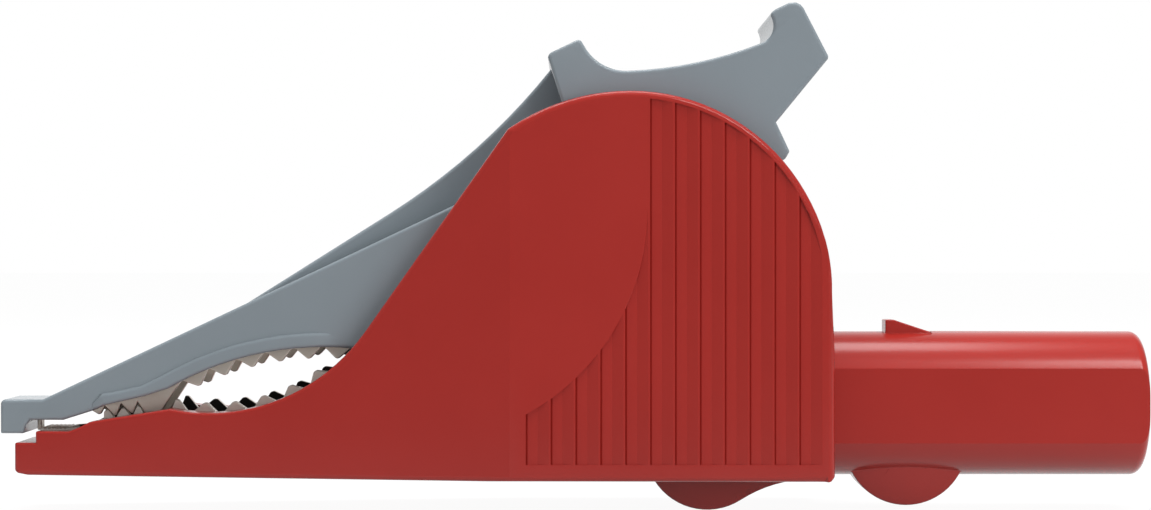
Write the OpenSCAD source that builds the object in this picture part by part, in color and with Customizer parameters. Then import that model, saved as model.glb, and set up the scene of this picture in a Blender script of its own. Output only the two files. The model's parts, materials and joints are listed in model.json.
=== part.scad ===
// Insulated crocodile clip with a lever, toothed jaws and a rear safety socket for a 4 mm plug.
// The origin is at the mouth of the plug bore, +X points out of that mouth and +Z is up.
// All sizes are in millimetres, and the jaws are shut.

/* [Safety socket] */
// Diameter of the plug bore
plug_d = 4; // [3.9:0.02:4.1]
// Depth of the plug bore
plug_depth = 19; // [17:0.5:21]
// Outer diameter of the contact tube
contact_d = 5.2; // [5:0.1:5.4]
// Outer diameter of the insulating tube round the contact
insulator_d = 6.4; // [6:0.1:6.8]
// How far the contact mouth lies inside the end of the sleeve
recess = 2.65; // [2:0.1:4]
// How far the insulating tube stands out past the contact
insulator_lip = 1.2; // [0.8:0.1:1.6]
// Outer diameter of the sleeve
sleeve_d = 12; // [11.6:0.1:12.4]
// Width of the sleeve across its two side flats
sleeve_flats = 10.3; // [10:0.1:11.4]
// Length of the sleeve behind the housing
sleeve_l = 26.35; // [24:0.5:32]
// Bore of the sleeve, which takes the shroud of the plug
sleeve_bore = 8.6; // [8:0.1:8.8]
// Depth of the ring-shaped gap in the sleeve
gap_depth = 20; // [18:0.5:22]
// Rounding of the sleeve end
sleeve_round = 0.85; // [0.3:0.05:0.9]
// Height of the barb above the sleeve
barb_h = 1; // [0.6:0.1:1.6]
// Width of the barb
barb_w = 2.8; // [2:0.1:4]

/* [Housing] */
// Width of the housing at the hump
body_w = 20; // [19:0.1:22]
// Width of the housing at its nose
nose_w = 7.7; // [7.4:0.1:9]
// Thickness of the side walls at the hump
wall = 1.6; // [1.4:0.05:1.8]
// Thickness of the floor
floor_t = 1.85; // [1.4:0.05:2]
// Depth of the bottom face below the socket axis
belly = 5.87; // [5.5:0.05:6.5]
// Radius of the hump about the pivot
hump_r = 16.2; // [15.5:0.1:17]
// Height of the pivot above the socket axis
pivot_h = 9.45; // [9.2:0.05:10]
// Distance from the pivot to the nose
jaw_reach = 50.6; // [48:0.2:56]
// Radius of the hollow that the jaws leave in the side walls
mouth_r = 16; // [15.8:0.1:16.4]
// Distance from one grip groove to the next
rib_pitch = 2; // [1.8:0.05:2.1]
// Width of the flat floor of a grip groove
groove_w = 0.95; // [0.8:0.05:1.2]
// Depth of the grip grooves at their floor
groove_d = 0.22; // [0.15:0.01:0.4]
// Number of grip grooves on a side
groove_count = 12; // [8:1:12]
// Rounding of the outer edges
edge_r = 0.6; // [0.3:0.05:0.8]

/* [Finger stops] */
// Radius of the stop under the housing
stop_r = 5.2; // [4.8:0.1:5.6]
// Radius of the stop under the sleeve
sleeve_stop_r = 5.1; // [4.8:0.1:5.6]
// Thickness of both stops in their middle
stop_w = 6.2; // [5.4:0.1:7]
// Width of their flat rim
rim_w = 4.4; // [3.8:0.1:5]

/* [Lever] */
// Gap between the lever and the side walls of the housing
side_gap = 0.3; // [0.25:0.05:0.5]
// Gap between the lever and the side walls where the lever leaves the housing
arm_gap = 0.68; // [0.6:0.02:0.9]
// Width of the lever at its nose, and of its spine
lever_nose_w = 6.6; // [6.4:0.1:7]
// Thickness of the insulation beside the upper jaw
shroud_t = 1.15; // [1:0.05:1.25]
// How far the lip stands out of the cheek
lip_t = 0.3; // [0.15:0.05:0.35]
// Height of the lip above the lower edge
lip_h = 1.2; // [0.9:0.05:1.4]
// Thickness of the two cheeks beside the spring
cheek_t = 2; // [1.6:0.1:2.4]
// Radius of the hub on each cheek
hub_r = 7.5; // [6.5:0.1:8.5]
// Thickness of the curved skirt that closes the slot behind the lever
skirt_t = 1.2; // [0.9:0.1:1.6]
// Thickness of the thumb plate
press_t = 2; // [1.6:0.1:2.6]
// Rise of the thumb press above the hump
press_rise = 1.9; // [1.7:0.1:3]

/* [Jaws] */
// Thickness of the jaw sheet
sheet = 0.8; // [0.6:0.05:0.9]
// Height of the main teeth
tooth_h = 1.05; // [0.8:0.05:1.1]
// Angle between two teeth of the lower jaw
lower_step = 9.05; // [8.9:0.05:9.2]
// Angle between two teeth of the upper jaw
upper_step = 5.4; // [5.3:0.05:5.5]
// Width of the strip that joins the lower jaw to the socket
strip_w = 8; // [6.5:0.1:9]

/* [Pivot and spring] */
// Diameter of the pivot pin
pin_d = 3; // [2.8:0.05:3.2]
// Depth of the blind holes that hold the pin in the side walls
pin_seat = 0.7; // [0.5:0.05:0.8]
// Outer diameter of the bush that carries the spring
bush_d = 6.4; // [5.6:0.1:6.6]
// Diameter of the spring wire
wire_d = 1.1; // [0.9:0.05:1.2]
// Diameter of the spring coil, measured at the middle of the wire
coil_d = 8.4; // [8.3:0.1:9]
// Number of turns in the coil
turns = 4; // [3:1:5]

/* [Fasteners] */
// Diameter of the screw that joins the lower jaw to the contact
screw_d = 3; // [2.6:0.1:3.2]
// Diameter of the screws that hold the upper jaw
jaw_screw_d = 2.2; // [2:0.1:2.4]

/* [Hidden] */
$fn = 96;

RED = [0.61, 0.20, 0.18];
GREY = [0.50, 0.54, 0.57];
STEEL = [0.62, 0.60, 0.57];
BRASS = [0.78, 0.74, 0.62];
DARK_RED = [0.50, 0.15, 0.13];

// Clearances
fit = 0.05;      // between a piece and the pocket that holds it
running = 0.05;  // radial clearance of the lever and the bush on the pin
far = 100;       // longer than any cut has to be

// Main stations along X
sleeve_end = recess;
wall_x = sleeve_end - sleeve_l;
wall_draft = 0.25;
pivot_x = wall_x - wall_draft - hump_r;
nose_x = pivot_x - jaw_reach;
front_x = nose_x - 0.22;
taper_x = pivot_x - 9.75;
mouth_end_x = nose_x + 28.1;

// Main levels along Z
bottom_z = -belly;
floor_z = bottom_z + floor_t;
strip_z = floor_z + fit;
hump_top = pivot_h + hump_r;

// x that lies a distance behind the nose
function nx(d) = nose_x + d;
// half-widths of the housing, the front of the lever and the jaws at a station x
function body_half(x) = nose_w / 2 + (body_w - nose_w) / 2 * (x - nose_x) / (taper_x - nose_x);
function lever_half(x) = lever_nose_w / 2
    + (lever_mid_w - lever_nose_w) / 2 * (x - nose_x) / (mouth_end_x - nose_x);
function jaw_half(x) = lever_half(x) - shroud_t;
// a point on a circle, with the angle counted from straight down or straight up towards +X
function below(c, r, a) = [c[0] + r * sin(a), c[1] - r * cos(a)];
function above(c, r, a) = [c[0] + r * sin(a), c[1] + r * cos(a)];
function polar(c, r, a) = [c[0] + r * cos(a), c[1] + r * sin(a)];

PIVOT = [pivot_x, pivot_h];
// the datum of the thumb press, just under the top of the hump
CREST = [pivot_x, hump_top - 0.2];

// Width of the lever at the thumb press, and where it leaves the housing
lever_w = body_w - 2 * (wall + side_gap);
lever_mid_w = 2 * (body_half(mouth_end_x) - wall - arm_gap);

// The hollow curve of the thumb press, and the height of the plate's underside at x from the pivot
press_r = 32.9;
PRESS = CREST + [-1.37, press_rise + press_r];
function press_level(x) = PRESS[1] - pivot_h
    - sqrt(pow(press_r + press_t, 2) - pow(pivot_x + x - PRESS[0], 2));

// A side profile drawn in X and Z, extruded over a width that is centred on the middle plane
module side(width) {
    rotate([90, 0, 0]) translate([0, 0, -width / 2]) linear_extrude(width) children();
}

// A plan drawn in X and Y, extruded over all heights
module plan() {
    translate([0, 0, -far / 2]) linear_extrude(far) children();
}

// A plan that is symmetric about the X axis, from points [x, half width] in order of x
module strip_plan(points) {
    n = len(points);
    polygon([for (p = points) p, for (i = [n - 1:-1:0]) [points[i][0], -points[i][1]]]);
}

// A cylinder across the clip at a point of the side view
module across(p, r, width) {
    side(width) translate(p) circle(r);
}

// A cylinder along the socket axis from x0 to x1
module along(x0, x1, r) {
    translate([x0, 0, 0]) rotate([0, 90, 0]) cylinder(h = x1 - x0, r = r);
}

// A finger stop: a disc with domed faces that thins from its middle to its flat rim
module stop_disc(p, r) {
    sag = (stop_w - rim_w) / 2;
    dome_r = (r * r + sag * sag) / (2 * sag);
    translate([p[0], 0, p[1]]) rotate([90, 0, 0]) rotate_extrude() intersection() {
        translate([0, -stop_w]) square([r, 2 * stop_w]);
        translate([0, stop_w / 2 - dome_r]) circle(dome_r);
        translate([0, dome_r - stop_w / 2]) circle(dome_r);
    }
}

// Housing

rail_z = -2.15;
lip_z = -3.11;
step_x = nx(1.55);
peak_x = nx(12.9);
MOUTH = [nx(16.03), mouth_r - 0.53];
peak_z = MOUTH[1] - sqrt(pow(mouth_r, 2) - pow(peak_x - MOUTH[0], 2));
// the flatter front of the hump, tangent to it at its top
crown_r = hump_r + 1.2;
CROWN = [pivot_x, pivot_h + hump_r - crown_r];
SHOULDER = [pivot_x - 9.9, CROWN[1] + sqrt(pow(crown_r, 2) - pow(9.9, 2))];
// the straight front edge is tangent to the mouth and ends at the shoulder
shoulder_gap = norm(SHOULDER - MOUTH);
edge_turn = atan2(SHOULDER[1] - MOUTH[1], SHOULDER[0] - MOUTH[0]) - acos(mouth_r / shoulder_gap);
EDGE_FOOT = polar(MOUTH, mouth_r, edge_turn);
wall_back = wall_x - 1.8;
tail_angle = 40.6;
open_angle = 34;
slot_angle = tail_angle - open_angle - 3;
STOP = [wall_x - 9.93, bottom_z + 2.25];
ridge_z = bottom_z - 0.4;
ridge_r = 11;

module housing_profile() {
    difference() {
        polygon([
            [front_x, bottom_z + 0.45], [front_x, lip_z], [step_x, lip_z], [step_x, rail_z],
            [nx(4.35), rail_z], [nx(5.3), -1.77], [nx(6.1), -1.36], [nx(6.9), -1.2],
            [peak_x, peak_z], EDGE_FOOT, SHOULDER, [pivot_x, SHOULDER[1]], PIVOT,
            [pivot_x + hump_r, pivot_h], [wall_x, pivot_h - 6], [wall_x, bottom_z + edge_r],
            [wall_x - edge_r, bottom_z], [nx(0.88), bottom_z + 0.1], [nx(0.03), bottom_z + 0.25]]);
        translate(MOUTH) circle(mouth_r);
    }
    // the round lower edge of the rear wall
    translate([wall_x - edge_r, bottom_z + edge_r]) circle(edge_r);
    intersection() {
        translate(PIVOT) circle(hump_r);
        translate([SHOULDER[0], pivot_h - 0.5]) square(far);
    }
    intersection() {
        translate(CROWN) circle(crown_r);
        translate([SHOULDER[0], pivot_h]) square([9.9, far]);
    }
}

module housing_plan() {
    strip_plan([[front_x, body_half(front_x)], [taper_x, body_w / 2], [wall_x - edge_r, body_w / 2]]);
    translate([wall_x - 2 * edge_r, edge_r - body_w / 2]) square([2 * edge_r, body_w - 2 * edge_r]);
    for (s = [-1, 1]) translate([wall_x - edge_r, s * (body_w / 2 - edge_r)]) circle(edge_r);
}

// The stop under the housing with the ridge that runs out of it to the rear wall
module housing_stop() {
    stop_disc(STOP, stop_r);
    ridge_x = STOP[0] + sqrt(pow(stop_r + ridge_r, 2) - pow(STOP[1] - ridge_z + ridge_r, 2));
    side(rim_w) difference() {
        polygon([STOP, [wall_x - edge_r, STOP[1]], [wall_x - edge_r, ridge_z],
            [ridge_x, ridge_z - ridge_r]]);
        translate([ridge_x, ridge_z - ridge_r]) circle(ridge_r);
        translate([ridge_x, ridge_z - far]) square(far);
    }
}

// The grip grooves in both side walls. Each drops from a sharp edge to a flat floor and rises again to a
// narrow land before the next, and a large arc ends them towards the jaws.
groove_first = pivot_x - 8.45;
groove_land = 0.15;
groove_foot = bottom_z + 1.4;
ARC_END = PIVOT + [1.35, 6.6];
arc_r = 18.75;

module grip_grooves() {
    intersection() {
        plan() for (s = [-1, 1], k = [0:groove_count - 1])
            translate([groove_first + k * rib_pitch, s * body_w / 2])
                polygon([[0, s], [0, -s * groove_d], [groove_w, -s * groove_d],
                    [rib_pitch - groove_land, 0], [rib_pitch - groove_land, s]]);
        side(body_w + 4) difference() {
            union() {
                translate(PIVOT) circle(hump_r - edge_r);
                translate([pivot_x - hump_r, groove_foot])
                    square([2 * hump_r - edge_r, pivot_h - groove_foot]);
            }
            translate([pivot_x - far, groove_foot - far]) square([2 * far, far]);
            translate(ARC_END - [arc_r, 0]) circle(arc_r);
            translate(ARC_END - [far, 0]) square(far);
        }
    }
}

module housing_hollow() {
    // the room for the lever and the spring, open at the top and the front
    front = nx(25.6);
    intersection() {
        plan() strip_plan([[front, body_half(front) - wall], [taper_x, body_w / 2 - wall],
            [wall_back, body_w / 2 - wall]]);
        side(body_w) polygon([[front, floor_z], [wall_back, floor_z], [wall_back, pivot_h + hump_r],
            [front, pivot_h + hump_r]]);
    }
    // the slot for the tail of the lever, over the rear wall
    intersection() {
        translate([wall_back - 6, wall - body_w / 2, 0]) cube([far, body_w - 2 * wall, far]);
        side(body_w) polygon([PIVOT, polar(PIVOT, far, slot_angle), [pivot_x, far]]);
    }
    // the pocket that holds the lower jaw, open at the front above the lip
    intersection() {
        plan() strip_plan([[front_x, jaw_half(front_x) + fit], [front + 1, jaw_half(front + 1) + fit]]);
        side(body_w) polygon([[jaw_front_x - fit, floor_z], [front + 1, floor_z], [front + 1, far],
            [front_x, far], [front_x, lip_z], [jaw_front_x - fit, lip_z]]);
    }
}

module housing() {
    color(RED) difference() {
        union() {
            intersection() {
                side(body_w) housing_profile();
                plan() housing_plan();
            }
            housing_stop();
        }
        housing_hollow();
        grip_grooves();
        across(PIVOT, pin_d / 2 + fit / 2, body_w - 2 * wall + 2 * pin_seat);
        along(spigot_end - 2 * fit, wall_x + 1, spigot_d / 2 + fit);
    }
}

// Safety socket

spigot_d = insulator_d + 2;
ring_t = 0.7;
ring_w = 1.4;
ring_depth = 0.4;
ring_x = wall_back - 0.1;
spigot_end = ring_x - ring_t - 0.9;
bore_end = sleeve_end - gap_depth;
SLEEVE_STOP = [wall_x + 6.62, 1.78 - sleeve_stop_r];
barb_x = wall_x + 5;

module socket_sleeve() {
    color(RED) difference() {
        union() {
            intersection() {
                translate([wall_x, 0, 0]) rotate([0, 90, 0]) rotate_extrude() union() {
                    square([sleeve_d / 2, sleeve_l - sleeve_round]);
                    square([sleeve_d / 2 - sleeve_round, sleeve_l]);
                    translate([sleeve_d / 2 - sleeve_round, sleeve_l - sleeve_round]) circle(sleeve_round);
                }
                cube([far * 2, sleeve_flats, far], center = true);
            }
            along(spigot_end, wall_x + 1, spigot_d / 2);
            stop_disc(SLEEVE_STOP, sleeve_stop_r);
            side(barb_w) polygon([[barb_x, 0], [barb_x, sleeve_d / 2 + barb_h],
                [barb_x + 0.7, sleeve_d / 2 + barb_h], [barb_x + 3.8, sleeve_d / 2 - 0.03],
                [barb_x + 3.8, 0]]);
        }
        along(bore_end, far, sleeve_bore / 2);
        along(-far, far, insulator_d / 2 + fit);
        difference() {
            along(ring_x - ring_t - fit, ring_x + fit, sleeve_d);
            along(-far, far, spigot_d / 2 - ring_depth);
        }
    }
}

// The spring steel ring that holds the sleeve against the rear wall, open at the bottom
module sleeve_retaining_ring() {
    inner_r = spigot_d / 2 - ring_depth + 0.02;
    mouth_half = inner_r * 0.92;
    color(STEEL) difference() {
        along(ring_x - ring_t, ring_x, inner_r + ring_w);
        along(-far, far, inner_r);
        translate([-far, -mouth_half, -far]) cube([2 * far, 2 * mouth_half, far]);
    }
}

contact_chamfer = 0.3;

module socket_insulator() {
    color(DARK_RED) difference() {
        along(spigot_end, contact_chamfer + insulator_lip, insulator_d / 2);
        along(-far, contact_chamfer + fit, contact_d / 2 + fit);
        along(-far, far, plug_d / 2 + contact_chamfer + 0.15);
    }
}

flange_t = 1;
flange_d = 6.8;
flange_x = spigot_end - fit;
tab_x = flange_x - flange_t;
thread_depth = 6;

module contact_socket() {
    color(BRASS) difference() {
        union() {
            along(tab_x, contact_chamfer, contact_d / 2);
            along(tab_x, flange_x, flange_d / 2);
        }
        along(-plug_depth, far, plug_d / 2);
        rotate([0, 90, 0])
            cylinder(h = contact_chamfer, r1 = plug_d / 2, r2 = plug_d / 2 + contact_chamfer);
        along(tab_x - 1, tab_x + thread_depth, screw_d / 2 + 0.02);
    }
}

washer_t = 0.4;
head_t = 1.4;
screw_x = tab_x - sheet - washer_t;

module contact_lock_washer() {
    color(STEEL) difference() {
        along(screw_x, screw_x + washer_t, screw_d / 2 + 1.3);
        along(-far, far, screw_d / 2 + 0.1);
    }
}

module contact_screw() {
    color(STEEL) difference() {
        union() {
            along(screw_x - head_t, screw_x, screw_d / 2 + 1);
            along(screw_x - 0.1, tab_x + thread_depth - 0.8, screw_d / 2);
        }
        translate([screw_x - head_t - 1, -0.35, -far / 2]) cube([1.6, 0.7, far]);
    }
}

// Lower jaw

pad_top = -1.93;
pad_rear_x = nx(4.15);
lower_first = -10.9;
lower_teeth = 6;
lower_tip_r = mouth_r - 0.7;
jaw_front_x = step_x + 0.1;
jaw_rear_x = nx(29);
jaw_wall_top = 2.6;
tab_top = 2.6;

// half of the flat on a tooth's tip, as a length on the front teeth and as an angle on the main teeth
tip_half = 0.13;
tip_turn = 0.55;

function lower_front_teeth() = [for (k = [0:2]) each [
    [nx(7.26 + 1.315 * k) - tip_half, -0.44 + 0.155 * k],
    [nx(7.26 + 1.315 * k) + tip_half, -0.44 + 0.155 * k],
    k < 2 ? [nx(7.93 + 1.4 * k), -1.2 + 0.16 * k] : [nx(10.7), -1.35]]];

function lower_rear_teeth() = [for (k = [0:lower_teeth - 1]) each [
    below(MOUTH, lower_tip_r, lower_first + k * lower_step - tip_turn),
    below(MOUTH, lower_tip_r, lower_first + k * lower_step + tip_turn),
    below(MOUTH, lower_tip_r + tooth_h, lower_first + (k + 0.5) * lower_step)]];

module lower_jaw_profile() {
    polygon([
        [jaw_front_x, strip_z], [jaw_front_x, pad_top], [pad_rear_x, pad_top],
        [nx(6.95), -1.7], [nx(6.98), -0.62], each lower_front_teeth(), [nx(12.3), -1.4],
        each lower_rear_teeth(), [jaw_rear_x, jaw_wall_top], [jaw_rear_x, strip_z]]);
}

module lower_jaw() {
    color(STEEL) {
        difference() {
            intersection() {
                side(body_w) lower_jaw_profile();
                plan() strip_plan([[jaw_front_x, jaw_half(jaw_front_x)],
                    [jaw_rear_x, jaw_half(jaw_rear_x)]]);
            }
            intersection() {
                side(body_w) polygon([
                    [jaw_front_x + sheet, strip_z + sheet], [jaw_front_x + sheet, pad_top - sheet],
                    [pad_rear_x, pad_top - sheet], [pad_rear_x, far], [jaw_rear_x + 1, far],
                    [jaw_rear_x + 1, strip_z + sheet]]);
                plan() strip_plan([[jaw_front_x, jaw_half(jaw_front_x) - sheet],
                    [jaw_rear_x + 1, jaw_half(jaw_rear_x + 1) - sheet]]);
            }
            // cross grooves of the flat gripping pad
            side(body_w) for (k = [0:5]) translate([jaw_front_x + 0.35 + 0.34 * k, pad_top])
                polygon([[-0.12, 0.01], [0.12, 0.01], [0, -0.13]]);
        }
        difference() {
            union() {
                translate([jaw_rear_x - 1, -strip_w / 2, strip_z])
                    cube([tab_x - jaw_rear_x + 1, strip_w, sheet]);
                translate([tab_x - sheet, -strip_w / 2, strip_z])
                    cube([sheet, strip_w, tab_top - strip_z]);
            }
            along(tab_x - 2, tab_x + 1, screw_d / 2 + 0.1);
        }
    }
}

// Pivot and spring

module pivot_pin() {
    color(STEEL) across(PIVOT, pin_d / 2, body_w - 2 * wall + 2 * pin_seat - 0.1);
}

bush_l = lever_w - 2 * cheek_t - 0.2;

module spring_bush() {
    color("gainsboro") difference() {
        across(PIVOT, bush_d / 2, bush_l);
        across(PIVOT, pin_d / 2 + running, far);
    }
}

coil_pitch = wire_d + 0.12;
coil_l = turns * coil_pitch;
// the upper leg ends close under the thumb plate, and the lower one on the strip
leg_up = [7, press_level(7) - wire_d / 2];
leg_down_x = 7.6;

function coil_point(t) = [coil_d / 2 * cos(t), (t - coil_start) / 360 * coil_pitch - coil_l / 2,
    coil_d / 2 * sin(t)];
coil_start = 152;
coil_end = coil_start + 360 * turns + 68;
// The centre line of the spring, counted from the pivot: the upper leg, the coil and the lower leg
SPRING_PATH = [
    [leg_up[0], -coil_l / 2, leg_up[1]],
    [leg_up[0] / 2 + coil_d / 4 * cos(coil_start), -coil_l / 2,
        leg_up[1] / 2 + coil_d / 4 * sin(coil_start)],
    for (t = [coil_start:15:coil_end]) coil_point(t),
    [leg_down_x, coil_point(coil_end)[1], strip_z + sheet + wire_d / 2 + 0.1 - pivot_h]];

function unit(v) = v / norm(v);
function path_dir(path, i) = unit(path[min(i + 1, len(path) - 1)] - path[max(i - 1, 0)]);
function ring_at(p, d, r, n) =
    let (u = unit(cross(d, [0, 1, 0.001])), v = cross(u, d))
    [for (j = [0:n - 1]) p + r * cos(360 * j / n) * u + r * sin(360 * j / n) * v];

// A round wire of n sides that follows a path
module wire(path, r, n) {
    rings = len(path);
    points = [for (i = [0:rings - 1]) each ring_at(path[i], path_dir(path, i), r, n)];
    faces = [
        [for (j = [0:n - 1]) j],
        for (i = [0:rings - 2], j = [0:n - 1]) [
            i * n + j, (i + 1) * n + j, (i + 1) * n + (j + 1) % n, i * n + (j + 1) % n],
        [for (j = [n - 1:-1:0]) (rings - 1) * n + j]];
    polyhedron(points, faces, convexity = 6);
}

module torsion_spring() {
    color(STEEL) translate([pivot_x, 0, pivot_h]) wire(SPRING_PATH, wire_d / 2, 10);
}

// Lever

block_top = 0.44;
block_bottom = -2.38;
jaw_edge = -1.25;
UNDER = [nx(25.5), -21.2];
under_r = 26.05;
CHEEK_END = PIVOT + [-14.65, 6.88];
SPINE_TURN = PIVOT + [-19.95, 6.35];
spine_r = 54;
drum_r = hump_r - 3.5;
skirt_end = slot_angle + 1.4;
lever_full_x = pivot_x - 7.5;

function cheek_top(x) = block_top + (CHEEK_END[1] - block_top) * (x - nx(2)) / (CHEEK_END[0] - nx(2));
spine_start = nx(18.5);
spine_angle = atan2(SPINE_TURN[1] - cheek_top(spine_start), SPINE_TURN[0] - spine_start);

// The arm: the snout over the upper jaw and the cheeks that run back to the hub
module arm_profile() {
    difference() {
        polygon([
            [nx(-1.52), block_bottom], [nx(-1.52), block_top - 0.35], [nx(-1.42), block_top - 0.1],
            [nx(-1.17), block_top], [nx(2), block_top], CHEEK_END, PIVOT + [-9.6, 9.4], PIVOT,
            PIVOT + [0, -hub_r], [nx(34), 3.2], [nx(25.5), 3], UNDER, [nx(12.7), 1.45], [nx(10.6), 0.77],
            [nx(7.3), 0.02], [nx(6.1), -0.5], [nx(3.72), jaw_edge], [nx(0.95), jaw_edge],
            [nx(0.6), -1.7], [nx(0.38), block_bottom]]);
        translate(UNDER) circle(under_r);
    }
}

module lever_plan() {
    strip_plan([[nx(-1.6), lever_nose_w / 2], [nx(0), lever_nose_w / 2], [mouth_end_x, lever_mid_w / 2],
        [lever_full_x, lever_w / 2], [pivot_x + 2 * hump_r, lever_w / 2]]);
}

// The raised lip along the lower edge of each cheek
module lip_profile() {
    intersection() {
        difference() {
            union() {
                translate(UNDER) circle(under_r + lip_h);
                polygon([UNDER, [lip_front, -0.5], [lip_front, 0.18], [nx(7.05), 0.96], [nx(8.58), 1.23],
                    [nx(10.3), 1.64], [nx(12.03), 2.47]]);
            }
            translate(UNDER) circle(under_r);
            translate([lip_rear, -far / 2]) square(far);
            translate([lip_front - far, -far / 2]) square(far);
        }
        arm_profile();
    }
}

// the lip swells out of the cheek over lip_rise at its front and sinks into it over lip_fade at its rear
lip_front = nx(6.2);
lip_rear = nx(26.5);
lip_rise = 1;
lip_fade = 2;

module lip_plan() {
    strip_plan([[lip_front - 0.2, lever_half(lip_front) - 0.05],
        [lip_front + lip_rise, lever_half(lip_front + lip_rise) + lip_t],
        [lip_rear - lip_fade, lever_half(lip_rear - lip_fade) + lip_t],
        [lip_rear + 0.2, lever_half(lip_rear) - 0.05]]);
}

// The narrow spine that stiffens the back of the arm and runs up to the front guard
module spine_profile() {
    difference() {
        // the straight part ends a hair under the arc, so that they meet in a clean edge
        polygon([[spine_start, cheek_top(spine_start)], SPINE_TURN - [0, 0.003], [SPINE_TURN[0], far],
            [pivot_x - 5, far], PIVOT + [-4, 8], PIVOT + [-12, 0]]);
        translate(SPINE_TURN + spine_r * [-sin(spine_angle), cos(spine_angle)]) circle(spine_r);
        translate([pivot_x - far / 2, hump_top + 2.2]) square(far);
    }
}

// The thumb press: a hollow curve between the front guard and the rear guard, with the tail below
guard_fillet_r = 3.9;
rear_fillet_r = 1.5;
// both fillets run into the hollow curve without a corner, at these angles about its centre
guard_turn = 2.05;
rear_turn = 21.44;
GUARD_FILLET = below(PRESS, press_r - guard_fillet_r, guard_turn);
REAR_FILLET = below(PRESS, press_r - rear_fillet_r, rear_turn);

module press_profile() {
    start = below(PRESS, press_r, guard_turn)[0];
    end = below(PRESS, press_r, rear_turn)[0];
    difference() {
        polygon([
            CREST + [-5.58, -0.59], CREST + [-6.69, 3], CREST + [-6.62, 3.25], CREST + [-6.43, 3.41],
            CREST + [-4.3, 4.43], CREST + [-4, 4.38], CREST + [-3.8, 4.03], CREST + [0, press_rise + 1.3],
            REAR_FILLET, CREST + [11.36, 6.37], CREST + [11.45, 6.65],
            CREST + [11.8, 6.92], CREST + [12.87, 7.43], CREST + [13.45, 7.47], CREST + [13.82, 7.3],
            CREST + [14.06, 7.01], CREST + [16.05, 3.16], CREST + [16.09, 2.93], CREST + [11.83, -2.27],
            polar(PIVOT, hump_r + 1.02, tail_angle + 0.7), polar(PIVOT, hump_r + 0.41, tail_angle), PIVOT]);
        intersection() {
            translate(PRESS) circle(press_r);
            translate([start, hump_top]) square([end - start, far]);
        }
        translate(GUARD_FILLET) circle(guard_fillet_r);
        translate(REAR_FILLET) circle(rear_fillet_r);
    }
}

// The cheeks and the curved skirt round the spring
module drum_profile() {
    translate(PIVOT) circle(hub_r);
    intersection() {
        translate(PIVOT) circle(drum_r);
        polygon([PIVOT, polar(PIVOT, far, skirt_end), polar(PIVOT, far, 90), polar(PIVOT, far, 178)]);
    }
}

module spring_room() {
    room_r = drum_r - skirt_t;
    side(lever_w - 2 * cheek_t) {
        translate(PIVOT) circle(room_r);
        translate(PIVOT + [-room_r, -far]) square([2 * room_r, far]);
        difference() {
            polygon([PIVOT + [-4.6, 0], CREST + [-4.6, 0], CREST + [-1, 3], CREST + [9.8, 4],
                CREST + [9.8, -4], PIVOT + [9.8, 0]]);
            translate(PRESS) circle(press_r + press_t);
        }
    }
}

// Upper jaw

WEB_FRONT = [nx(2.6), -0.35];
WEB_REAR = [nx(30.2), 10];
web_angle = atan2(WEB_REAR[1] - WEB_FRONT[1], WEB_REAR[0] - WEB_FRONT[0]);
upper_first = -24.68;
upper_teeth = 7;
upper_tip_r = under_r - 0.95;
beak_x = nx(1.04);
beak_t = 0.36;
beak_w = 1.3;
beak_z = rail_z - 0.1;

function upper_front_teeth() = [
    [nx(5.95), -0.5], [nx(6.51), -0.82], [nx(6.67), -0.82], [nx(7.06), -0.1], [nx(7.86), -0.9],
    [nx(8.02), -0.9], [nx(8.42), 0.1], [nx(9.28), -0.72], [nx(9.44), -0.72], [nx(9.82), 0.27],
    [nx(10.55), -0.9], [nx(11.55), -0.9]];

function upper_rear_teeth() = [for (k = [0:upper_teeth]) each [
    above(UNDER, upper_tip_r + tooth_h, upper_first + (k - 0.5) * upper_step),
    if (k < upper_teeth) each [
        above(UNDER, upper_tip_r, upper_first + k * upper_step - tip_turn / 2),
        above(UNDER, upper_tip_r, upper_first + k * upper_step + tip_turn / 2)]]];

module upper_jaw_profile() {
    polygon([
        [beak_x, WEB_FRONT[1]], [beak_x, beak_z], [beak_x + beak_t, beak_z],
        [beak_x + beak_t, jaw_edge + 0.05], [nx(3.72), jaw_edge + 0.05],
        each upper_front_teeth(), each upper_rear_teeth(), WEB_REAR, WEB_FRONT]);
}

// A place on the web, with +Z standing square to it
module on_web(distance) {
    p = WEB_FRONT + distance * [cos(web_angle), sin(web_angle)];
    translate([p[0], 0, p[1]]) rotate([0, -web_angle, 0]) children();
}

// Distances of the jaw screws along the web, the height of their heads and their reach into the lever
SCREW_PLACES = [18, 25.2];
jaw_screw_head = 0.7;
jaw_screw_reach = 1.6;

module upper_jaw() {
    color(STEEL) difference() {
        intersection() {
            side(body_w) upper_jaw_profile();
            plan() strip_plan([[beak_x, jaw_half(beak_x)], [WEB_REAR[0] + 2, jaw_half(WEB_REAR[0] + 2)]]);
        }
        intersection() {
            side(body_w) polygon([[beak_x + beak_t, -far], WEB_REAR + [2, -far],
                WEB_REAR + [2, -sheet + 2 * tan(web_angle)], WEB_FRONT + [0, -sheet],
                [beak_x + beak_t, WEB_FRONT[1] - sheet]]);
            plan() strip_plan([[beak_x, jaw_half(beak_x) - sheet],
                [WEB_REAR[0] + 2, jaw_half(WEB_REAR[0] + 2) - sheet]]);
        }
        for (d = SCREW_PLACES) on_web(d) translate([0, 0, -2]) cylinder(h = 4, r = jaw_screw_d / 2 + 0.1);
        // beside the beak the front wall ends inside the lever
        for (s = [-1, 1]) translate([beak_x - 1, s * (beak_w / 2 + 2) - 2, beak_z - 1])
            cube([1 + beak_t, 4, 1 + jaw_edge + 0.05 - beak_z]);
    }
}

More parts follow.
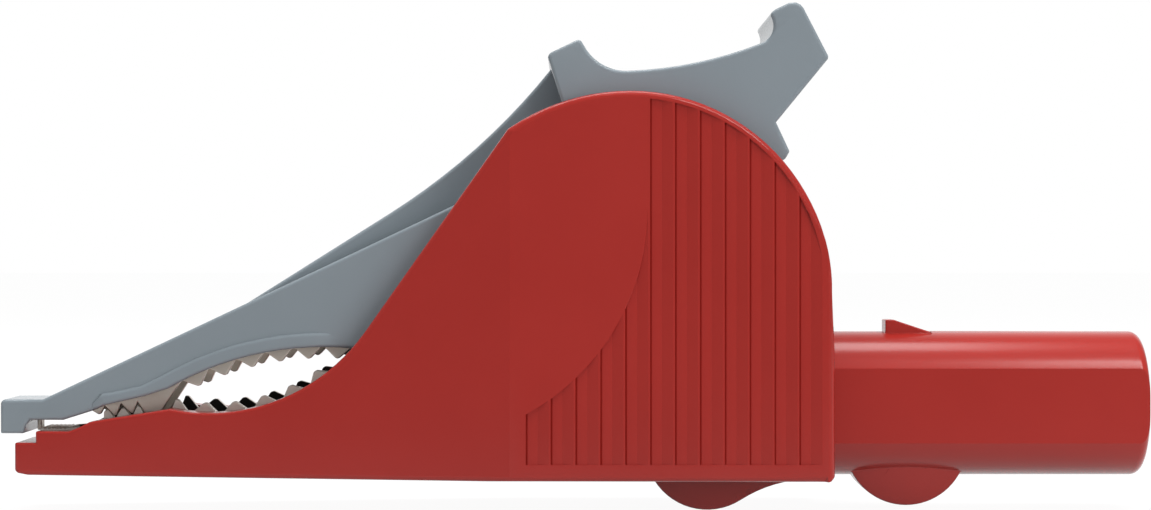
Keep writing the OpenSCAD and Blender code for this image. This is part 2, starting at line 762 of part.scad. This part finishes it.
module upper_jaw_screws() {
    color(STEEL) for (d = SCREW_PLACES) on_web(d) {
        translate([0, 0, -sheet - jaw_screw_head]) cylinder(h = jaw_screw_head, r = jaw_screw_d / 2 + 0.8);
        translate([0, 0, -sheet - 0.1]) cylinder(h = sheet + 0.1 + jaw_screw_reach, r = jaw_screw_d / 2);
    }
}

// The pocket in the lever that holds the upper jaw
module jaw_pocket() {
    intersection() {
        side(body_w) polygon([[beak_x - 0.26, -far], WEB_REAR + [fit, -far], WEB_REAR + [fit, fit],
            WEB_FRONT + [0, fit], [beak_x - 0.26, WEB_FRONT[1] + fit]]);
        plan() strip_plan([[nose_x, jaw_half(nose_x) + fit],
            [WEB_REAR[0] + 2, jaw_half(WEB_REAR[0] + 2) + fit]]);
    }
    for (d = SCREW_PLACES) on_web(d) cylinder(h = jaw_screw_reach + 0.1, r = jaw_screw_d / 2 + 0.02);
}

module lever() {
    color(GREY) difference() {
        union() {
            intersection() {
                side(lever_w) union() {
                    arm_profile();
                    drum_profile();
                    press_profile();
                }
                plan() lever_plan();
            }
            intersection() {
                side(lever_w) lip_profile();
                plan() lip_plan();
            }
            side(lever_nose_w) spine_profile();
        }
        spring_room();
        jaw_pocket();
        across(PIVOT, pin_d / 2 + running, far);
    }
}

housing();
socket_sleeve();
sleeve_retaining_ring();
socket_insulator();
contact_socket();
contact_screw();
contact_lock_washer();
lower_jaw();
pivot_pin();
spring_bush();
torsion_spring();
lever();
upper_jaw();
upper_jaw_screws();
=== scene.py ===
"""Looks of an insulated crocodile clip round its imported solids. Metres, +Z up, +X out of the plug bore."""

import json
import math

import bmesh
import bpy
from mathutils import Matrix, Vector
from mathutils.geometry import delaunay_2d_cdt


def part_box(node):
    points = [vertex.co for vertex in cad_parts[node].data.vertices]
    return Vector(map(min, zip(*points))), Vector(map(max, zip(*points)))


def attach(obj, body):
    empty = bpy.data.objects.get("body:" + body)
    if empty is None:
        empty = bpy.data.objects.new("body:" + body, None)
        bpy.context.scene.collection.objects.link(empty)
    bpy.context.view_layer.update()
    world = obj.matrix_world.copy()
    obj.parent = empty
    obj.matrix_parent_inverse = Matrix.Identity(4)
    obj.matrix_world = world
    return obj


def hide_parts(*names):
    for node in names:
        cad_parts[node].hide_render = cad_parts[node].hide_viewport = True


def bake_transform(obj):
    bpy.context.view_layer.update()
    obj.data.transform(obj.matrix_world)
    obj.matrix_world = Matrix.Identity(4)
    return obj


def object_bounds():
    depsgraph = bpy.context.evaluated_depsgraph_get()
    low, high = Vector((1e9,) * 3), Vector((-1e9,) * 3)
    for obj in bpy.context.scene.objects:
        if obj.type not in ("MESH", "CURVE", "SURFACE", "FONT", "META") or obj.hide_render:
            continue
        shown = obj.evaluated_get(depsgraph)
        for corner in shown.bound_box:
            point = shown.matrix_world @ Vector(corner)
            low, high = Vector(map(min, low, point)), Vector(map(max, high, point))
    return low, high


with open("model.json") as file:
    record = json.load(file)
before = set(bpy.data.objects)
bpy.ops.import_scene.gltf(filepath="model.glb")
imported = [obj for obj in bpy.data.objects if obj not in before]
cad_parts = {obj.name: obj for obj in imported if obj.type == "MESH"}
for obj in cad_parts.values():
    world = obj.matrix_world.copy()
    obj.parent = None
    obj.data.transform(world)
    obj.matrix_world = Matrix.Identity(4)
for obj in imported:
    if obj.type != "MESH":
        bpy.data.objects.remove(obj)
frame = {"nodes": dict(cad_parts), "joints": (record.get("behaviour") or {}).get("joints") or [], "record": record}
cad_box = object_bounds()
nodes = frame["nodes"]
slot_of = {row["node"]: row["material_slot"] for row in frame["record"]["subparts"]}
bodies = frame["record"]["behaviour"]["bodies"]
body_of = {node: body for body, members in bodies.items() for node in members}

MM = 0.001

# Places of the clip in millimetres, from the frame
PIVOT = Vector(frame["joints"][0]["pos_m"]) / MM
LOW, HIGH = [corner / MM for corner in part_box("housing")]
NOSE_X = LOW.x
HUMP_R = HIGH.z - PIVOT.z
SLEEVE_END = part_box("socket_sleeve")[1].x / MM


# Shader nodes

def srgb(red, green, blue):
    """A linear colour with alpha from an 8-bit display colour."""
    def linear(c):
        c /= 255
        return c / 12.92 if c <= 0.04045 else ((c + 0.055) / 1.055) ** 2.4
    return (linear(red), linear(green), linear(blue), 1)


def new_material(name):
    """An empty node material with its output and a Principled shader."""
    material = bpy.data.materials.new(name)
    material.use_nodes = True
    tree = material.node_tree
    tree.nodes.clear()
    output = tree.nodes.new("ShaderNodeOutputMaterial")
    shader = tree.nodes.new("ShaderNodeBsdfPrincipled")
    tree.links.new(shader.outputs["BSDF"], output.inputs["Surface"])
    return material, tree, shader


def ranged(tree, value, start, end, low, high):
    """Maps a value that goes from start to end onto the range from low to high."""
    node = tree.nodes.new("ShaderNodeMapRange")
    node.inputs["From Min"].default_value = start
    node.inputs["From Max"].default_value = end
    node.inputs["To Min"].default_value = low
    node.inputs["To Max"].default_value = high
    tree.links.new(value, node.inputs["Value"])
    return node.outputs["Result"]


def combined(tree, operation, first, second):
    """The result of an operation on two values."""
    node = tree.nodes.new("ShaderNodeMath")
    node.operation = operation
    tree.links.new(first, node.inputs[0])
    tree.links.new(second, node.inputs[1])
    return node.outputs[0]


def component(tree, coordinates, axis):
    """One component of a kind of texture coordinates."""
    place = tree.nodes.new("ShaderNodeTexCoord")
    split = tree.nodes.new("ShaderNodeSeparateXYZ")
    tree.links.new(place.outputs[coordinates], split.inputs["Vector"])
    return split.outputs[axis]


def mixed(tree, value, first, second):
    """A colour between two colours."""
    node = tree.nodes.new("ShaderNodeMix")
    node.data_type = "RGBA"
    node.inputs["A"].default_value = first
    node.inputs["B"].default_value = second
    tree.links.new(value, node.inputs["Factor"])
    return node.outputs["Result"]


def noise(tree, scale_mm, detail=3, stretch=(1, 1, 1)):
    """Noise in the piece's own space, with features about scale_mm across."""
    place = tree.nodes.new("ShaderNodeTexCoord")
    scale = tree.nodes.new("ShaderNodeMapping")
    scale.inputs["Scale"].default_value = [s / (scale_mm * MM) for s in stretch]
    texture = tree.nodes.new("ShaderNodeTexNoise")
    texture.inputs["Scale"].default_value = 1
    texture.inputs["Detail"].default_value = detail
    tree.links.new(place.outputs["Object"], scale.inputs["Vector"])
    tree.links.new(scale.outputs["Vector"], texture.inputs["Vector"])
    return texture.outputs["Fac"]


# Nearly all of the noise lies between these values
NOISE_LOW, NOISE_HIGH = 0.3, 0.7


def spread(tree, value, low, high):
    """Maps a noise value onto the range from low to high."""
    return ranged(tree, value, NOISE_LOW, NOISE_HIGH, low, high)


def bump(tree, shader, value, height_mm):
    """Raises the surface by up to height_mm where the value is high."""
    node = tree.nodes.new("ShaderNodeBump")
    node.inputs["Distance"].default_value = height_mm * MM
    tree.links.new(value, node.inputs["Height"])
    tree.links.new(node.outputs["Normal"], shader.inputs["Normal"])


# Materials

def moulded_plastic(name, colour, darker, roughness, cloud_mm=9, grain_mm=0.12):
    """Satin moulded plastic: a faint cloudiness in its colour and a fine spark-eroded grain."""
    material, tree, shader = new_material(name)
    cloud = spread(tree, noise(tree, cloud_mm), 0, 1)
    tree.links.new(mixed(tree, cloud, darker, colour), shader.inputs["Base Color"])
    grain = noise(tree, grain_mm, 2)
    tree.links.new(spread(tree, grain, roughness - 0.04, roughness + 0.05), shader.inputs["Roughness"])
    bump(tree, shader, grain, 0.0015)
    shader.inputs["IOR"].default_value = 1.47
    shader.inputs["Specular IOR Level"].default_value = 0.4
    return material


def metal_grain(tree, shader, roughness_low, roughness_high, stretch, grain_mm=0.25):
    """Rolling or turning marks, finer along the axes where stretch is larger."""
    grain = noise(tree, grain_mm, 4, stretch)
    tree.links.new(spread(tree, grain, roughness_low, roughness_high), shader.inputs["Roughness"])
    bump(tree, shader, grain, 0.002)


def metal(name, colour, darker, roughness, stretch=(1, 1, 1), cloud_mm=2.5):
    """Plated metal with a faint cloudiness in its colour, and marks as stretch says."""
    material, tree, shader = new_material(name)
    cloud = spread(tree, noise(tree, cloud_mm), 0, 1)
    tree.links.new(mixed(tree, cloud, darker, colour), shader.inputs["Base Color"])
    metal_grain(tree, shader, roughness - 0.08, roughness + 0.1, stretch)
    shader.inputs["Metallic"].default_value = 1
    return material


def steel_with_painted_inner_faces(name, outer, inner):
    """Plated steel sheet bent to a channel, whose inner faces get a second tone: painted shade where it is darker,
    painted light where it is lighter.
    """
    material, tree, shader = new_material(name)
    # The mask picks the faces that look towards the middle plane. The second tone is painted there, as shade when
    # it is darker and as light when it is lighter.
    outward = combined(tree, "MULTIPLY", component(tree, "Object", "Y"), component(tree, "Normal", "Y"))
    inside = ranged(tree, outward, -0.5 * MM, -1 * MM, 0, 1)
    tree.links.new(mixed(tree, inside, outer, inner), shader.inputs["Base Color"])
    metal_grain(tree, shader, 0.34, 0.52, (0.25, 1, 1))
    shader.inputs["Metallic"].default_value = 0.8
    return material


# The lower jaw's inner faces are painted almost black: painted shade inside the channel.
LOWER_STEEL_PAINTED_SHADE = steel_with_painted_inner_faces("lower_jaw_steel_painted_shade", srgb(238, 230, 220), srgb(50, 47, 45))

MATERIALS = {
    "red_plastic": moulded_plastic("red_plastic", srgb(157, 41, 35), srgb(154, 39, 33), 0.2),
    "inner_red_plastic": moulded_plastic("inner_red_plastic", srgb(128, 32, 29), srgb(120, 29, 26), 0.35),
    "grey_plastic": moulded_plastic("grey_plastic", srgb(127, 136, 142), srgb(124, 133, 139), 0.2),
    # On the channel's inner faces this steel is painted lighter: painted light.
    "jaw_steel": steel_with_painted_inner_faces("jaw_steel", srgb(212, 204, 193), srgb(240, 232, 218)),
    "contact_metal": metal("contact_metal", srgb(214, 205, 180), srgb(200, 190, 165), 0.25, (3, 0.2, 0.2)),
    "screw_steel": metal("screw_steel", srgb(200, 198, 194), srgb(180, 178, 174), 0.3),
    "spring_steel": metal("spring_steel", srgb(150, 148, 146), srgb(128, 126, 125), 0.3),
    "bush_plastic": moulded_plastic("bush_plastic", srgb(226, 222, 208), srgb(219, 215, 200), 0.4),
}

for name, obj in nodes.items():
    obj.data.materials.clear()
    obj.data.materials.append(MATERIALS[slot_of[name]])


# Rounding of the edges. An edge is given by its middle, its direction and whether it is convex.
# The functions return the width of its rounding, and all lengths are in millimetres.

# Least cosine of a direction that counts as parallel to an axis, and distance that counts as none
PARALLEL = 0.9
SAME_PLACE = 0.05

# The side walls: half width at the nose, where they start to taper, and how thick their outside counts
NOSE_HALF = 3.85
TAPER_X = PIVOT.x - 9.75
SKIN = 0.1

# The field of grooves on them
GROOVES_FRONT = PIVOT.x - 9.5
GROOVES_REAR = PIVOT.x + HUMP_R - 0.5
GROOVES_FOOT = LOW.z + 4
GROOVES_RADIUS = HUMP_R - 0.3
GROOVES_HALF = HIGH.y - 0.5

# The housing's rear corners are round already from this place on. Roundings fade out in front of them.
ROUND_FROM = HIGH.x - 0.7
FADE_LENGTH = 2
FADE_REST = 0.15

# The foot of the rear wall
FOOT_FRONT = ROUND_FROM - 6
FOOT_TOP = LOW.z + 3

# Widths of the housing's roundings: in the grooves, at the foot, in folds, on inner edges, and outside,
# where they grow from narrow to wide
GROOVE_EDGE, FOOT_EDGE, FOLD_EDGE, INNER_EDGE = 0.07, 0.04, 0.1, 0.15
NARROW, WIDE = 0.22, 0.5
WIDENS_FROM = NOSE_X + 16
WIDENS_OVER = 25


def outer_half(x):
    """Half width of the housing at a station x."""
    share = min(1, (x - NOSE_X) / (TAPER_X - NOSE_X))
    return NOSE_HALF + (HIGH.y - NOSE_HALF) * share


def in_grooves(place):
    """Tells whether a place lies among the grooves of a side wall."""
    under_rim = place.z < PIVOT.z or math.hypot(place.x - PIVOT.x, place.z - PIVOT.z) < GROOVES_RADIUS
    return (GROOVES_FRONT < place.x < GROOVES_REAR and GROOVES_FOOT < place.z and under_rim
            and abs(place.y) > GROOVES_HALF)


def housing_edge(middle, along, convex):
    """Wide round the hump, narrower towards the jaws, fine in the grooves and at the rear wall's foot."""
    if in_grooves(middle):
        return GROOVE_EDGE if convex and abs(along.z) > PARALLEL else 0
    if not convex:
        return FOLD_EDGE
    if abs(middle.y) < outer_half(middle.x) - SKIN:
        return INNER_EDGE
    to_corner = ROUND_FROM - middle.x
    if to_corner < SAME_PLACE:
        return 0
    if middle.x > FOOT_FRONT and middle.z < FOOT_TOP:
        return FOOT_EDGE
    share = max(0, middle.x - WIDENS_FROM) / WIDENS_OVER
    fade = min(1, FADE_REST + to_corner / FADE_LENGTH)
    return min(WIDE, NARROW + (WIDE - NARROW) * share) * fade


# The slanted front end of the lever's lip, and the least cosine between its edge and the upright
SLANT_FRONT, SLANT_REAR = NOSE_X + 6.1, NOSE_X + 7.7
SLANTED = 0.5


def lever_edge(middle, along, convex):
    """Wide along the sides, crisp across the clip and at the lip's front, none at the foot of the lip."""
    if not convex:
        return 0
    if SLANT_FRONT < middle.x < SLANT_REAR and abs(along.z) > SLANTED:
        return 0.06
    return 0.12 if abs(along.y) > PARALLEL else 0.3


# The sleeve's end, which is round already from this place on
END_FROM = SLEEVE_END - 2.5


def sleeve_edge(middle, along, convex):
    """Even, but none at the sleeve's end."""
    if middle.x > END_FROM:
        return 0
    return 0.12 if convex else 0.1


def jaw_edge(middle, along, convex):
    """Even on the convex edges of the pressed sheet."""
    return 0.09 if convex else 0


def fastener_edge(middle, along, convex):
    """Even on the convex edges of turned and small pieces."""
    return 0.1 if convex else 0


# Depth of the grooves in the solid, and the line that runs along the foot of each groove's step
GROOVE_D = 0.22
LINE_W, LINE_D = 0.15, 0.09
X_AXIS, Y_AXIS = 0, 1


def looks_along(face, axis):
    """Tells whether a face looks straight along an axis."""
    return abs(face.normal[axis]) > 0.999


def is_groove_floor(face):
    """Tells whether a face is the floor of a groove in a side wall."""
    depth = HIGH.y - abs(face.calc_center_median().y)
    return looks_along(face, Y_AXIS) and abs(depth - GROOVE_D) < 0.01


def sharpen_grooves(shape):
    """Cuts a fine line along the foot of each groove's step."""
    feet = set()
    for floor in [face for face in shape.faces if is_groove_floor(face)]:
        steps = [edge for edge in floor.edges if any(looks_along(side, X_AXIS) for side in edge.link_faces)]
        if not steps:
            continue
        feet.update(vert for edge in steps for vert in edge.verts)
        beside = steps[0].verts[0].co + Vector((LINE_W, 0, 0))
        bmesh.ops.bisect_plane(shape, geom=[floor, *floor.edges, *floor.verts], plane_co=beside,
                               plane_no=(1, 0, 0))
    for vert in feet:
        vert.co.y *= 1 - LINE_D / HIGH.y


# Dressed copies of the nodes

# Degrees of fold: what counts as flat, what is rounded, and what stays crisp after that
FLAT_FOLD = 0.2
ROUNDED_FOLD = 34
CRISP_FOLD = 24
GROOVE_FOLD = 6

# Millimetres: corners of the solid's mesh that become one, and the same for the rounded mesh and its edges
WELD = 0.02
FINE_WELD = 2e-3
SHORT_EDGE = 1e-3

# What the triangulation returns, which is the triangles inside the outline, and its tolerance
INSIDE_ONLY = 1
TOLERANCE = 1e-5


def marked_mesh(name, width_at, widest, reshape):
    """A node's mesh in millimetres, with clean flat faces and a weight on each edge to be rounded."""
    mesh = nodes[name].data.copy()
    mesh.transform(Matrix.Scale(1 / MM, 4))
    shape = bmesh.new()
    shape.from_mesh(mesh)
    bmesh.ops.remove_doubles(shape, verts=shape.verts, dist=WELD)
    bmesh.ops.dissolve_limit(shape, angle_limit=math.radians(FLAT_FOLD),
                             verts=shape.verts, edges=shape.edges)
    if reshape:
        reshape(shape)
        shape.normal_update()
    weight = shape.edges.layers.float.new("bevel_weight_edge")
    for edge in shape.edges:
        fold = edge.calc_face_angle() if edge.is_manifold else math.pi
        if fold > math.radians(ROUNDED_FOLD):
            start, end = [vert.co for vert in edge.verts]
            edge[weight] = width_at((start + end) / 2, (end - start).normalized(), edge.is_convex) / widest
    shape.to_mesh(mesh)
    shape.free()
    return mesh


def split_face(shape, face):
    """Splits a flat many-sided face into triangles, also where its outline crosses itself."""
    corners = face.verts[:]
    turned = face.normal.rotation_difference(Vector((0, 0, 1)))
    flat = [turned @ corner.co for corner in corners]
    height = sum(point.z for point in flat) / len(flat)
    outline = list(range(len(flat)))
    points, _, triangles, sources, _, _ = delaunay_2d_cdt(
        [point.to_2d() for point in flat], [], [outline], INSIDE_ONLY, TOLERANCE)
    verts = []
    for point, source in zip(points, sources):
        place = turned.inverted() @ Vector((point.x, point.y, height))
        verts.append(corners[source[0]] if source else shape.verts.new(place))
    shape.faces.remove(face)
    for triangle in triangles:
        if not shape.faces.get([verts[i] for i in triangle]):
            shape.faces.new([verts[i] for i in triangle])


def finish_mesh(mesh, fine_at):
    """Splits the many-sided faces, shades all but the crisp edges smooth and goes back to metres."""
    shape = bmesh.new()
    shape.from_mesh(mesh)
    bmesh.ops.remove_doubles(shape, verts=shape.verts, dist=FINE_WELD)
    bmesh.ops.dissolve_degenerate(shape, dist=SHORT_EDGE, edges=shape.edges)
    for face in [face for face in shape.faces if len(face.verts) > 4]:
        split_face(shape, face)
    shape.normal_update()
    for face in shape.faces:
        face.smooth = True
    for edge in shape.edges:
        fine = fine_at and fine_at((edge.verts[0].co + edge.verts[1].co) / 2)
        limit = math.radians(GROOVE_FOLD if fine else CRISP_FOLD)
        edge.smooth = edge.is_manifold and edge.calc_face_angle() < limit
    shape.to_mesh(mesh)
    shape.free()
    mesh.transform(Matrix.Scale(MM, 4))


def dressed_copy(name, width_at, widest, segments=4, reshape=None, fine_at=None):
    """A copy of a node with each sharp edge rounded by the width that width_at gives it."""
    piece = bpy.data.objects.new(name + "_shell", marked_mesh(name, width_at, widest, reshape))
    bpy.context.scene.collection.objects.link(piece)
    bevel = piece.modifiers.new("edges", "BEVEL")
    bevel.width = widest
    bevel.segments = segments
    bevel.limit_method = "WEIGHT"
    bevel.use_clamp_overlap = False
    rounded = piece.evaluated_get(bpy.context.evaluated_depsgraph_get())
    piece.data = bpy.data.meshes.new_from_object(rounded)
    piece.modifiers.clear()
    finish_mesh(piece.data, fine_at)
    normals = piece.modifiers.new("normals", "WEIGHTED_NORMAL")
    normals.keep_sharp = True
    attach(piece, body_of[name])
    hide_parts(name)
    return piece


dressed_copy("housing", housing_edge, 0.5, reshape=sharpen_grooves, fine_at=in_grooves)
dressed_copy("lever", lever_edge, 0.3)
dressed_copy("socket_sleeve", sleeve_edge, 0.12)
dressed_copy("upper_jaw", jaw_edge, 0.09)
lower_jaw = dressed_copy("lower_jaw", jaw_edge, 0.09)
# Steel with painted shade on the channel's inner faces.
lower_jaw.data.materials.clear()
lower_jaw.data.materials.append(LOWER_STEEL_PAINTED_SHADE)
for name in ("socket_insulator", "contact_screw", "upper_jaw_screws", "pivot_pin"):
    dressed_copy(name, fastener_edge, 0.1, segments=2)


def make_spring():
    """A smooth-shaded copy of the torsion spring."""
    spring = bpy.data.objects.new("spring", nodes["torsion_spring"].data.copy())
    bpy.context.scene.collection.objects.link(spring)
    for face in spring.data.polygons:
        face.use_smooth = True
    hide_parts("torsion_spring")
    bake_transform(spring)


make_spring()


# Studio

# A place near the middle of the clip, in millimetres
MIDDLE = (-44, 0, 5)

# The floor in metres: its size, its own grey, and the white over it, whose share leaves the shadow visible
FLOOR_SIZE = 6
FLOOR_GREY = 0.45
WHITE = 1.1
WHITE_SHARE = 0.86


def area_light(name, place_mm, target_mm, size_mm, watts):
    """A rectangular lamp that faces a point, with its first side along the clip."""
    data = bpy.data.lights.new(name, "AREA")
    data.shape = "RECTANGLE"
    data.size, data.size_y = [s * MM for s in size_mm]
    data.energy = watts
    lamp = bpy.data.objects.new(name, data)
    bpy.context.scene.collection.objects.link(lamp)
    lamp.location = Vector(place_mm) * MM
    back = (lamp.location - Vector(target_mm) * MM).normalized()
    side = (Vector((1, 0, 0)) - back * back.x).normalized()
    lamp.rotation_euler = Matrix((side, back.cross(side), back)).transposed().to_euler()
    return lamp


def seen_directly(tree):
    """One for rays that come from the camera, or reach it by a reflection or through glass."""
    path = tree.nodes.new("ShaderNodeLightPath").outputs
    by_surface = combined(tree, "MAXIMUM", path["Is Glossy Ray"], path["Is Transmission Ray"])
    return combined(tree, "MAXIMUM", path["Is Camera Ray"], by_surface)


def white_to_camera(tree, reflected):
    """Full strength for what the camera sees directly, and the given strength for what is reflected."""
    path = tree.nodes.new("ShaderNodeLightPath").outputs
    return combined(tree, "MAXIMUM", path["Is Camera Ray"], reflected)


def graded(tree, low, high, axis, coordinates="Generated", start=-0.5, end=0.5):
    """A strength from low to high along an axis, over the world's directions or the floor's places."""
    result = ranged(tree, component(tree, coordinates, axis), start, end, low, high)
    result.node.interpolation_type = "SMOOTHSTEP"
    return result


def make_world(below, above, room):
    """Soft light, stronger from above, in front of a white backdrop. Room is what lies opposite it."""
    world = bpy.data.worlds.new("studio")
    bpy.context.scene.world = world
    world.use_nodes = True
    tree = world.node_tree
    tree.nodes.clear()
    output = tree.nodes.new("ShaderNodeOutputWorld")
    mix = tree.nodes.new("ShaderNodeMixShader")
    light = tree.nodes.new("ShaderNodeBackground")
    seen = tree.nodes.new("ShaderNodeBackground")
    for background in (light, seen):
        background.inputs["Color"].default_value = (1, 1, 1, 1)
    tree.links.new(graded(tree, below, above, "Z"), light.inputs["Strength"])
    reflected = graded(tree, room, 1, "Y", start=0.55, end=0.95)
    tree.links.new(white_to_camera(tree, reflected), seen.inputs["Strength"])
    tree.links.new(seen_directly(tree), mix.inputs["Fac"])
    tree.links.new(light.outputs["Background"], mix.inputs[1])
    tree.links.new(seen.outputs["Background"], mix.inputs[2])
    tree.links.new(mix.outputs["Shader"], output.inputs["Surface"])


def make_floor(level, room):
    """A pale floor that shows white but keeps a soft shadow. Room is what its front shows reflected."""
    bpy.ops.mesh.primitive_plane_add(size=FLOOR_SIZE, location=(0, 0, level))
    floor = bpy.context.object
    floor.name = "floor"
    material, tree, shader = new_material("floor")
    shader.inputs["Base Color"].default_value = (FLOOR_GREY, FLOOR_GREY, FLOOR_GREY, 1)
    shader.inputs["Roughness"].default_value = 0.9
    white = tree.nodes.new("ShaderNodeEmission")
    white.inputs["Color"].default_value = (WHITE, WHITE, WHITE, 1)
    reflected = graded(tree, room, 1, "Y", "Object", start=-0.12, end=0.02)
    tree.links.new(white_to_camera(tree, reflected), white.inputs["Strength"])
    mix = tree.nodes.new("ShaderNodeMixShader")
    tree.links.new(ranged(tree, seen_directly(tree), 0, 1, 0, WHITE_SHARE), mix.inputs["Fac"])
    tree.links.new(shader.outputs["BSDF"], mix.inputs[1])
    tree.links.new(white.outputs["Emission"], mix.inputs[2])
    tree.links.new(mix.outputs["Shader"], tree.nodes["Material Output"].inputs["Surface"])
    floor.data.materials.append(material)


make_world(0.5, 0.6, 0.25)
make_floor(cad_box[0].z, 0.15)
area_light("key_softbox", (185, -150, 410), (-10, 0, 5), (240, 75), 0.65)
area_light("rear_softbox", (-95, 105, 410), MIDDLE, (300, 150), 0.85)
# These two light the object evenly without a reflection of their own
side_fill = area_light("side_fill", (270, -390, 90), MIDDLE, (260, 160), 0.95)
overhead = area_light("overhead", (-44, 0, 520), MIDDLE, (500, 400), 2)
side_fill.visible_glossy = False
overhead.visible_glossy = False


# Camera: level, looking along +Y, with the picture's centre at this point of the middle plane
VIEW_CENTRE = Vector((-44.6 * MM, 0, 12.41 * MM))
VIEW_DISTANCE = 227 * MM
LENS_MM = 84.45
SENSOR_MM = 36

camera_data = bpy.data.cameras.new("camera")
camera_data.lens = LENS_MM
camera_data.sensor_width = SENSOR_MM
camera_data.clip_start = 0.01
camera = bpy.data.objects.new("camera", camera_data)
bpy.context.scene.collection.objects.link(camera)
camera.location = VIEW_CENTRE - Vector((0, VIEW_DISTANCE, 0))
camera.rotation_euler = (math.radians(90), 0, 0)
bpy.context.scene.camera = camera
bpy.context.scene.view_settings.view_transform = "Standard"
